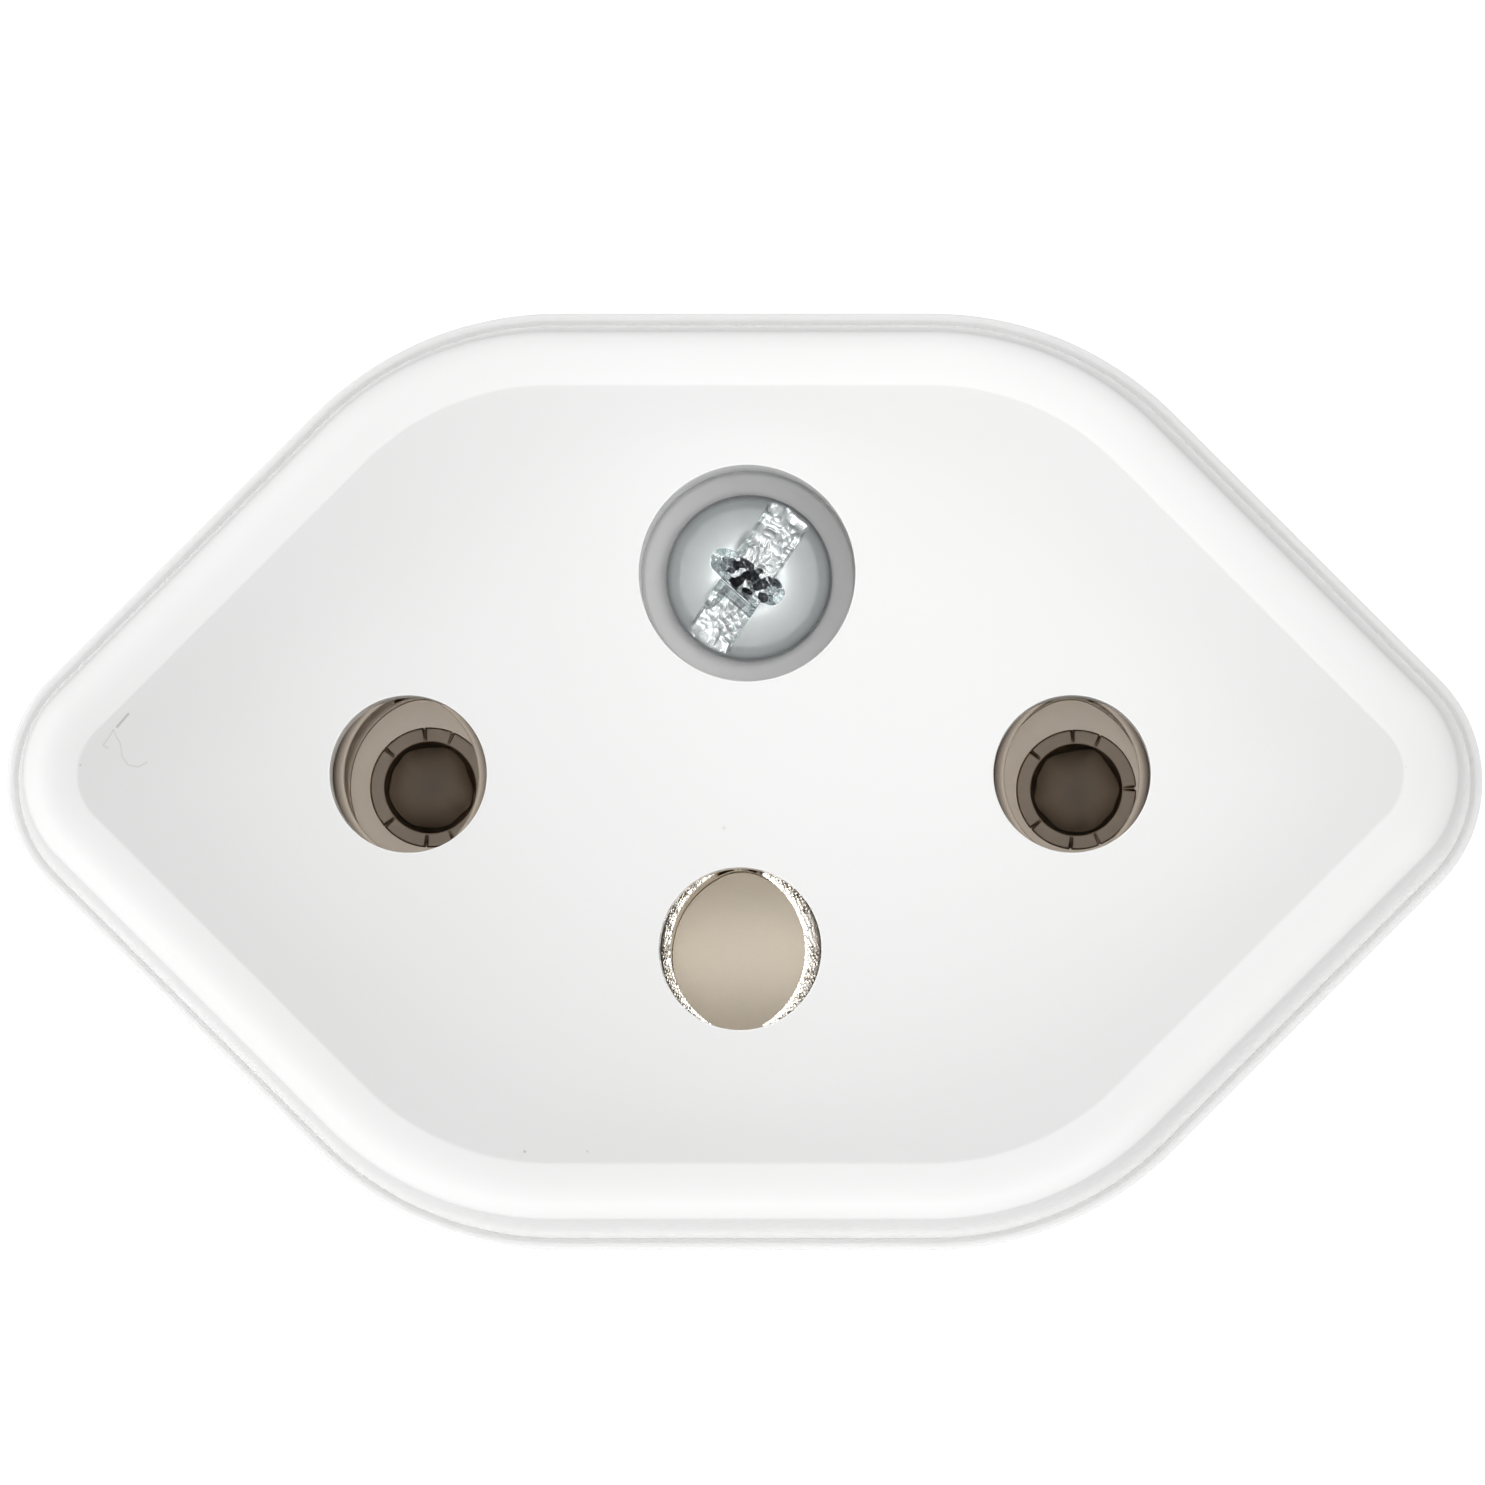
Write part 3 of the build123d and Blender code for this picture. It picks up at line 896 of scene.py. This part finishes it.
# Sleeve contacts
sleeve = {
    "leafRadius": 2.48,
    "leafOffset": 0.55,
    "tipRadius": 1.2,
    "sheet": 0.45,
    "mouth": 4.0,
    "slotWidth": 1.4,
    "slotLength": 10.0,
    "bottom": 0.6,
    "liveBottom": 22.0,
    "earthBottom": 21.4,
    "bead": 0.015,
    "beadLength": 0.07,
    "beadShare": 0.85,  # of the sheet's thickness; the rest slopes away
    "mouthRise": 0.04,
    "mouthDrop": 0.012,
    "floorRound": 0.03,
    "outerRound": 0.45,
    "rivetHole": 1.53,
    "dish": 0.16,  # how far the closed floor deepens towards its middle line
    "liveDish": 0.04,
    "earthWiden": 0.13,  # the inside is this much wider at its floor
    "liveWiden": 0.22,
    # how far each inside sits off its axis, at the mouth and at the floor
    "lineLean": (0.0, -0.06),
    "neutralLean": (0.0, 0.02),
    "earthLean": (-0.1, -0.15),
}


def halfSection(samples):
    # the right half of the sleeve's section, from its top to its bottom: tip arc, leaf arc, tip arc
    centreZ = math.sqrt((sleeve["leafRadius"] - sleeve["tipRadius"]) ** 2 - sleeve["leafOffset"] ** 2)
    alpha = math.degrees(math.atan2(centreZ, sleeve["leafOffset"]))
    few = samples // 8
    parts = [
        arcPieces((0, centreZ), sleeve["tipRadius"], 90, alpha, few),
        arcPieces((-sleeve["leafOffset"], 0), sleeve["leafRadius"], alpha, -alpha, samples - 2 * few - 1),
        arcPieces((0, -centreZ), sleeve["tipRadius"], -alpha, -90, few),
        arcPieces((0, -centreZ), sleeve["tipRadius"], -90, -180, 1),
    ]
    return [np.concatenate([part[i] for part in parts]) for i in (0, 1)]


def leafRows(growth, rows, samples):
    # each row of the leaf runs between the slot's edges: s from s0 to L - s0, where x(s0) is half the
    # slot's width
    points, normals = halfSection(samples)
    curve = points + growth * normals
    lengths = np.concatenate([[0], np.cumsum(np.linalg.norm(np.diff(curve, axis=0), axis=1))])
    slotEnd = sleeve["mouth"] + sleeve["slotLength"]
    half = sleeve["slotWidth"] / 2
    past = np.clip(rows - slotEnd, 0, half)
    width = np.sqrt(np.clip(half**2 - past**2, 0, None)) * (rows <= slotEnd + half)
    upper = len(curve) // 2
    start = np.interp(width, curve[:upper, 0], lengths[:upper])
    share = np.linspace(0, 1, samples)
    along = start[:, None] + share[None] * (lengths[-1] - 2 * start[:, None])
    x = np.interp(along, lengths, curve[:, 0])
    z = np.interp(along, lengths, curve[:, 1])
    return x, z


def makeContact(name, node, across, up, bottomDepth, lean, isEarth, material):
    samples = 241
    slotEnd = sleeve["mouth"] + sleeve["slotLength"]
    half = sleeve["slotWidth"] / 2
    innerFloor = bottomDepth - sleeve["bottom"]
    floorEdge = innerFloor - sleeve["dish" if isEarth else "liveDish"]
    floorRound = sleeve["floorRound"]
    widen = sleeve["earthWiden" if isEarth else "liveWiden"]
    straightEnd = floorEdge - 0.4
    rows = np.concatenate(
        [
            sleeve["mouth"] + np.array([0, 0.05, 0.15, 0.4]),
            np.linspace(sleeve["mouth"] + 1, slotEnd, 10),
            slotEnd + half * np.sin(np.linspace(0, np.pi / 2, 12)[1:]),
            np.linspace(slotEnd + half, straightEnd, 8)[1:],
        ]
    )
    offset = np.interp(rows, [sleeve["mouth"], straightEnd], lean)[:, None]
    share = np.interp(rows, [sleeve["mouth"], straightEnd], [0, 1])[:, None]
    narrowX, narrowZ = leafRows(0, rows, samples)
    wideX, wideZ = leafRows(widen, rows, samples)
    innerX = narrowX * (1 - share) + wideX * share
    innerZ = narrowZ * (1 - share) + wideZ * share
    outerX, outerZ = leafRows(sleeve["sheet"], rows, samples)
    # the last row is the one that the closed end begins with
    points, normals = halfSection(samples)
    innerX[-1], innerZ[-1] = (points + widen * normals).T
    outerX[-1], outerZ[-1] = (points + sleeve["sheet"] * normals).T
    depth = np.repeat(rows[:, None], samples, axis=1)
    outerDepth = np.maximum(depth, sleeve["mouth"] + sleeve["mouthDrop"])
    lip = np.linspace(0, 1, 17)[:, None]
    mouthX = innerX[0] * (1 - lip) + outerX[0] * lip
    mouthZ = innerZ[0] * (1 - lip) + outerZ[0] * lip
    beads = waves(mouthX + 5 * across, mouthZ, sleeve["beadLength"], 16, 11)
    crown = np.clip(1 - (2 * lip / sleeve["beadShare"] - 1) ** 2, 0, None) ** 0.7
    fall = sleeve["mouthDrop"] * step(lip, sleeve["beadShare"], 1)
    mouthY = sleeve["mouth"] - crown * (sleeve["mouthRise"] + sleeve["bead"] * beads * isEarth) + fall
    slotted = rows <= slotEnd + half + 1e-9
    blocks = []
    for side in (-1, 1):
        blocks.append(surface(side * innerX + offset, depth, innerZ))
        blocks.append(surface(side * outerX, outerDepth, outerZ))
        blocks.append(surface(side * mouthX + lean[0] * (1 - lip), mouthY, mouthZ))
        for column in (0, -1):
            # the slot's edge runs from the inside to the outside of the sheet
            k = lip.T
            insideX, insideZ = [part[slotted, column][:, None] for part in (innerX, innerZ)]
            outsideX, outsideZ = [part[slotted, column][:, None] for part in (outerX, outerZ)]
            edgeX = side * (insideX * (1 - k) + outsideX * k) + offset[slotted] * (1 - k)
            edgeZ = insideZ * (1 - k) + outsideZ * k
            edgeY = np.maximum(rows[slotted][:, None], mouthY[None, :, column])
            edgeY[0] = mouthY[:, column]
            blocks.append(surface(edgeX, edgeY, edgeZ))
    whole = (
        np.concatenate([points[:-1], (points * [-1, 1])[:0:-1]]),
        np.concatenate([normals[:-1], (normals * [-1, 1])[:0:-1]]),
    )
    inner = roundedProfile(
        [(-widen, straightEnd), (-widen, floorEdge, floorRound), (floorRound + 0.02 - widen, floorEdge)],
        steps=6,
    )
    innerEnd, innerEndFaces = skin(whole, inner)
    rim = whole[0] - inner[-1, 0] * whole[1]
    if isEarth:
        # the closed floor is a shallow trough: it lies deepest along its level middle line
        reach = np.abs(rim[:, 1]).max()
        low = step(innerEnd[:, 1], straightEnd, floorEdge - floorRound)
        innerEnd[:, 1] += sleeve["dish"] * (1 - (innerEnd[:, 2] / reach) ** 2) * low
        share = np.cos(np.linspace(0, np.pi / 2, 60))[:, None, None]
        ring = rim[None] * share
        level = floorEdge + sleeve["dish"] * (1 - (ring[..., 1] / reach) ** 2)
    else:
        share = np.linspace(0, 1, 12)[:, None, None]
        circle = sleeve["rivetHole"] * rim / np.linalg.norm(rim, axis=1)[:, None]
        ring = rim[None] * (1 - share) + circle[None] * share
        level = floorEdge + sleeve["liveDish"] * share[..., 0] ** 2 + 0 * ring[..., 0]
    ring[..., 0] += lean[1]
    blocks.append((innerEnd + np.array([lean[1], 0, 0]), innerEndFaces))
    blocks.append(surface(ring[..., 0], level, ring[..., 1], closedAcross=True))
    sheet = sleeve["sheet"]
    underside = 0.05  # where the rounded outside ends and the flat bottom begins
    outer = roundedProfile(
        [(-sheet, straightEnd), (-sheet, bottomDepth, sleeve["outerRound"]), (underside, bottomDepth)],
        steps=8,
    )
    blocks.append(skin(whole, outer))
    base = whole[0] - underside * whole[1]
    if isEarth:
        foot = base[None] * np.linspace(1, 0, 6)[:, None, None]
        footY = bottomDepth + 0 * foot[..., 0]
    else:
        share = np.linspace(0, 1, 6)[:, None, None]
        circle = sleeve["rivetHole"] * base / np.linalg.norm(base, axis=1)[:, None]
        foot = base[None] * (1 - share) + circle[None] * share
        footY = bottomDepth + 0 * foot[..., 0]
        bore = np.stack([foot[-1], ring[-1]])
        boreY = np.stack([footY[-1], level[-1]])
        blocks.append(surface(bore[..., 0], boreY, bore[..., 1], closedAcross=True))
    blocks.append(surface(foot[..., 0], footY, foot[..., 1], closedAcross=True))
    blocks = [(v + np.array([across, 0, up]), f) for v, f in blocks]
    return makePiece(name, blocks, [node], material, sharp=40)


for pieceName, nodeName, across, lean in (
    ("lineSleeve", "line_contact", -holes["liveX"], sleeve["lineLean"]),
    ("neutralSleeve", "neutral_contact", holes["liveX"], sleeve["neutralLean"]),
):
    makeContact(pieceName, nodeName, across, 0, sleeve["liveBottom"], lean, False, tarnishAndShadeNickelSilver)
makeContact(
    "earthSleeve",
    "earth_contact",
    0,
    holes["earthZ"],
    sleeve["earthBottom"],
    sleeve["earthLean"],
    True,
    nickelSilver,
)

# Plug pins
pins = {
    "radius": 2.0,
    "length": 19.0,
    "tip": 1.5,
    "core": 1.5,
    "sleeveLength": 10.0,
    "collar": 1.8,
    "collarHeight": 0.8,
    "socketDepth": 2.0,
    "foot": 0.1,
    "lip": 1.75,
    "lipHeight": 0.09,
    "lipRound": 0.05,
    "bore": 1.22,
    "flare": 0.12,
    "flareDepth": 0.36,
    "boreDepth": 1.1,
    "point": 0.45,
    "cracks": 7,
    "crackWidth": 0.045,
    "crackDepth": 0.06,
    "ragged": 0.035,  # how far the torn mouth of the bore wanders, as a share of its radius
    # how far each flared end sits off its pin's axis, across and up
    "lineShift": (0.15, -0.02),
    "neutralShift": (0.2, -0.09),
}


def makePin(name, node, across, isLive, seatDepth, shift=(0, 0)):
    # the turned outline from the bottom of the rivet's bore, over its flared lip, down to the tip
    plugFace = body["depth"]
    lipFront = seatDepth - pins["lipHeight"]
    boreEnd = lipFront + pins["boreDepth"]
    socket = plugFace - pins["socketDepth"]
    tip = plugFace + pins["length"]
    corners = [
        (0, boreEnd + pins["point"]),
        (pins["bore"], boreEnd),
        (pins["bore"], lipFront + pins["flareDepth"], 0.3),
        (pins["bore"] + pins["flare"], lipFront, 0.06),
        (pins["lip"], lipFront, pins["lipRound"]),
        (pins["lip"] + 0.03, seatDepth),
        (pins["core"], seatDepth),
        (pins["core"], socket),
        (pins["collar"], socket),
    ]
    if isLive:
        collarEnd = socket + pins["collarHeight"]
        neck = plugFace + pins["sleeveLength"]
        corners += [
            (pins["collar"], collarEnd),
            (pins["core"], collarEnd),
            (pins["core"], neck),
            (pins["radius"], neck, 0.08),
        ]
    else:
        foot = plugFace - pins["foot"]
        corners += [(pins["collar"], foot), (pins["radius"], foot)]
    corners += [(pins["radius"], tip, pins["tip"]), (0, tip)]
    verts, faces = turned(0, 0, roundedProfile(corners, steps=16), steps=400)
    radius = np.hypot(verts[:, 0], verts[:, 2])
    angle = np.arctan2(verts[:, 2], verts[:, 0])
    # cracks at uneven angles: a bell curve of the distance to the nearest one, over the lip's ring only
    share = 2 * np.pi / pins["cracks"]
    wander = 0.3 * np.sin(2 * angle + across) + 0.1 * np.sin(5 * angle)
    gap = np.abs((angle + wander + share / 2) % share - share / 2) * radius
    crack = np.exp(-((gap / pins["crackWidth"]) ** 2)) * step(radius, pins["bore"] + 0.1, pins["lip"] - 0.1)
    material = rivetedNickel if isLive else nickelPlate
    nearLip = verts[:, 1] < seatDepth - 0.02
    verts[:, 1] += np.where(nearLip, pins["crackDepth"] * crack, 0)
    verts[:, [0, 2]] *= 1 - np.where(nearLip, 0.02 * crack, 0)[:, None]
    # the whole flared end and its bore sit off the axis; the shank behind them does not
    inBore = (radius < pins["bore"] + pins["flare"] + 0.02) & (verts[:, 1] < boreEnd + pins["point"] + 0.01)
    rough = waves(np.cos(angle) + across, np.sin(angle), 0.8, 10, 14)
    tear = 1 + pins["ragged"] * rough * step(verts[:, 1], lipFront, lipFront + 0.25)
    verts[:, [0, 2]] *= np.where(inBore, tear, 1)[:, None]
    moved = np.where(inBore, 1, 1 - step(verts[:, 1], seatDepth + 0.02, seatDepth + 0.4))
    verts[:, [0, 2]] += moved[:, None] * np.array(shift)
    verts = verts + np.array([across, 0, 0])
    return makePiece(name, [(verts, faces)], [node], material, sharp=40)


liveSeat = sleeve["liveBottom"] - sleeve["bottom"]
makePin("linePlugPin", "line_pin", -holes["liveX"], True, liveSeat, pins["lineShift"])
makePin("neutralPlugPin", "neutral_pin", holes["liveX"], True, liveSeat, pins["neutralShift"])
makePin("earthPlugPin", "earth_pin", 0, False, sleeve["earthBottom"])


def makePinSleeve(name, node, across):
    # the insulating sleeve: a thin tube with a collar inside the housing
    plugFace = body["depth"]
    inner = pins["core"] + 0.02
    start = plugFace - pins["socketDepth"] + pins["collarHeight"]
    foot = plugFace - pins["foot"]
    end = plugFace + pins["sleeveLength"]
    corners = [
        (inner, (start + end) / 2),
        (inner, start),
        (pins["collar"], start),
        (pins["collar"], foot),
        (pins["radius"], foot),
        (pins["radius"], end, 0.1),
        (inner, end),
        (inner, (start + end) / 2),
    ]
    tube = turned(across, 0, roundedProfile(corners, steps=6), steps=160)
    return makePiece(name, [tube], [node], blackNylon)


makePinSleeve("linePinSleeve", "line_pin_sleeve", -holes["liveX"])
makePinSleeve("neutralPinSleeve", "neutral_pin_sleeve", holes["liveX"])

# CAD nodes that stay
kept = {
    "screw_insert": turnedBrass,
    "line_grip_spring": springSteel,
    "neutral_grip_spring": springSteel,
    "earth_grip_spring": springSteel,
    "earth_strap": nickelSilver,
}
for nodeName, material in kept.items():
    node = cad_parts[nodeName]
    node.data.materials.clear()
    node.data.materials.append(material)
print("kept nodes finished")

# Studio
studio = {
    "floorSize": 6.0,  # metres
    "floorGlow": 0.42,
    "floorColour": "#e6e6e6",
    "floorGap": 2e-5,  # metres below the part
    "seenWhite": 1.05,
    # brightness of the tent by direction, for matt and for glossy surfaces, on its lower left and upper
    # right: -1 is where the camera stands, 1 is behind the plug
    "matteLeft": [
        (-1.0, 0.1),
        (-0.97, 0.18),
        (-0.72, 0.22),
        (-0.6, 1.22),
        (-0.3, 1.45),
        (0.2, 1.45),
        (0.6, 1.1),
        (1.0, 0.5),
    ],
    "matteRight": [
        (-1.0, 0.3),
        (-0.95, 0.12),
        (-0.72, 0.12),
        (-0.6, 1.0),
        (-0.4, 1.05),
        (-0.2, 1.1),
        (0.3, 1.0),
        (1.0, 0.45),
    ],
    "glossLeft": [
        (-1.0, 1.45),
        (-0.993, 1.4),
        (-0.985, 0.5),
        (-0.95, 0.5),
        (-0.91, 3.0),
        (0.2, 3.0),
        (0.6, 1.5),
        (1.0, 0.6),
    ],
    "glossRight": [
        (-1.0, 1.45),
        (-0.993, 1.4),
        (-0.985, 0.5),
        (-0.95, 0.5),
        (-0.91, 3.2),
        (-0.1, 2.8),
        (0.4, 1.5),
        (1.0, 0.4),
    ],
    "brightest": 5.0,  # a ramp holds 0 to 1, so the levels go in as shares of this
    "sideBlend": 0.3,
    "key": 0.0058,  # watts
    "keyPlace": (0.005, -0.06, 0.007),
    "keyTarget": (0.005, -0.025, 0.007),
    "keySize": 0.016,
    # long lens, a little to the right of the middle, just above the floor
    "cameraPlace": (0.007, -0.725, -0.0124),
    "cameraTarget": (0.00007, -0.025, 0.0009),
    "fieldWidth": 0.04249,  # metres seen across the frame at the face
    "sensorWidth": 36,
}


def makeFloor():
    # a wide plane that glows a little, so that it reads as the photograph's white
    half = studio["floorSize"] / 2
    level = cadLow.z - studio["floorGap"]
    corners = [(-half, -half, level), (half, -half, level), (half, half, level), (-half, half, level)]
    mesh = bpy.data.meshes.new("studioFloor")
    mesh.from_pydata(corners, [], [(0, 1, 2, 3)])
    material, tree = newMaterial("whitePaperSweep")
    paper = addNode(tree, "ShaderNodeBsdfDiffuse", {"Color": linear(studio["floorColour"])})
    glow = addNode(tree, "ShaderNodeEmission", {"Color": (1, 1, 1, 1), "Strength": studio["floorGlow"]})
    both = addNode(tree, "ShaderNodeAddShader", {0: paper.outputs[0], 1: glow.outputs[0]})
    addNode(tree, "ShaderNodeOutputMaterial", {"Surface": both.outputs[0]})
    mesh.materials.append(material)
    floor = bpy.data.objects.new("studioFloor", mesh)
    bpy.context.scene.collection.objects.link(floor)
    floor.visible_diffuse = False
    floor.visible_glossy = False


def makeTent():
    # a white tent: full white to the camera, dimmer in front for the matt light, and a bright ring for
    # the gloss
    world = bpy.data.worlds.new("whiteTent")
    bpy.context.scene.world = world
    world.use_nodes = True
    world.cycles.sampling_method = "NONE"
    tree = world.node_tree
    tree.nodes.clear()
    direction = addNode(tree, "ShaderNodeTexCoord").outputs["Generated"]
    parts = addNode(tree, "ShaderNodeSeparateXYZ", {0: direction})
    share = addNode(
        tree,
        "ShaderNodeMapRange",
        {"Value": parts.outputs["Y"], "From Min": -1.0, "From Max": 1.0},
    )
    across = addNode(
        tree,
        "ShaderNodeMath",
        {0: parts.outputs["X"], 1: parts.outputs["Z"]},
        operation="ADD",
    )
    blend = studio["sideBlend"]
    side = addNode(
        tree,
        "ShaderNodeMapRange",
        {"Value": across.outputs[0], "From Min": -blend, "From Max": blend},
        interpolation_type="SMOOTHSTEP",
    )
    lights = []
    for stops in (studio["matteLeft"], studio["matteRight"], studio["glossLeft"], studio["glossRight"]):
        ramp = addNode(tree, "ShaderNodeValToRGB", {"Fac": share.outputs["Result"]})
        while len(ramp.color_ramp.elements) < len(stops):
            ramp.color_ramp.elements.new(0.5)
        for element, (place, level) in zip(ramp.color_ramp.elements, stops):
            element.position = (place + 1) / 2
            grey = level / studio["brightest"]
            element.color = (grey, grey, grey, 1)
        lit = {"Color": ramp.outputs["Color"], "Strength": studio["brightest"]}
        lights.append(addNode(tree, "ShaderNodeBackground", lit))
    upper = side.outputs["Result"]
    matte, gloss = [
        addNode(tree, "ShaderNodeMixShader", {0: upper, 1: low.outputs[0], 2: high.outputs[0]})
        for low, high in (lights[:2], lights[2:])
    ]
    white = {"Color": (1, 1, 1, 1), "Strength": studio["seenWhite"]}
    seen = addNode(tree, "ShaderNodeBackground", white)
    path = addNode(tree, "ShaderNodeLightPath")
    bounced = addNode(
        tree,
        "ShaderNodeMixShader",
        {0: path.outputs["Is Diffuse Ray"], 1: gloss.outputs[0], 2: matte.outputs[0]},
    )
    mix = addNode(
        tree,
        "ShaderNodeMixShader",
        {0: path.outputs["Is Camera Ray"], 1: bounced.outputs[0], 2: seen.outputs[0]},
    )
    addNode(tree, "ShaderNodeOutputWorld", {"Surface": mix.outputs[0]})


def turnTowards(holder, place, target):
    # the holder's -Z looks from its place to the target
    holder.location = place
    holder.rotation_euler = (Vector(target) - Vector(place)).to_track_quat("-Z", "Y").to_euler()


def makeLight():
    # a small soft light in front of the face
    lamp = bpy.data.lights.new("keySoftbox", "AREA")
    lamp.shape = "SQUARE"
    lamp.size = studio["keySize"]
    lamp.energy = studio["key"]
    holder = bpy.data.objects.new("keySoftbox", lamp)
    turnTowards(holder, studio["keyPlace"], studio["keyTarget"])
    holder.visible_camera = False
    holder.visible_glossy = False
    bpy.context.scene.collection.objects.link(holder)


def makeCamera():
    # its focal length is sensor width * distance / field width
    away = (Vector(studio["cameraTarget"]) - Vector(studio["cameraPlace"])).length
    data = bpy.data.cameras.new("productCamera")
    data.sensor_width = studio["sensorWidth"]
    data.lens = studio["sensorWidth"] * away / studio["fieldWidth"]
    data.clip_start = 0.01
    data.clip_end = 50
    camera = bpy.data.objects.new("productCamera", data)
    turnTowards(camera, studio["cameraPlace"], studio["cameraTarget"])
    bpy.context.scene.collection.objects.link(camera)
    bpy.context.scene.camera = camera


makeFloor()
makeTent()
makeLight()
makeCamera()
bpy.context.scene.view_settings.view_transform = "Standard"
# light reaches the bottom of a sleeve over many reflections
bpy.context.scene.cycles.max_bounces = 24
bpy.context.scene.cycles.glossy_bounces = 24
print("studio ready")
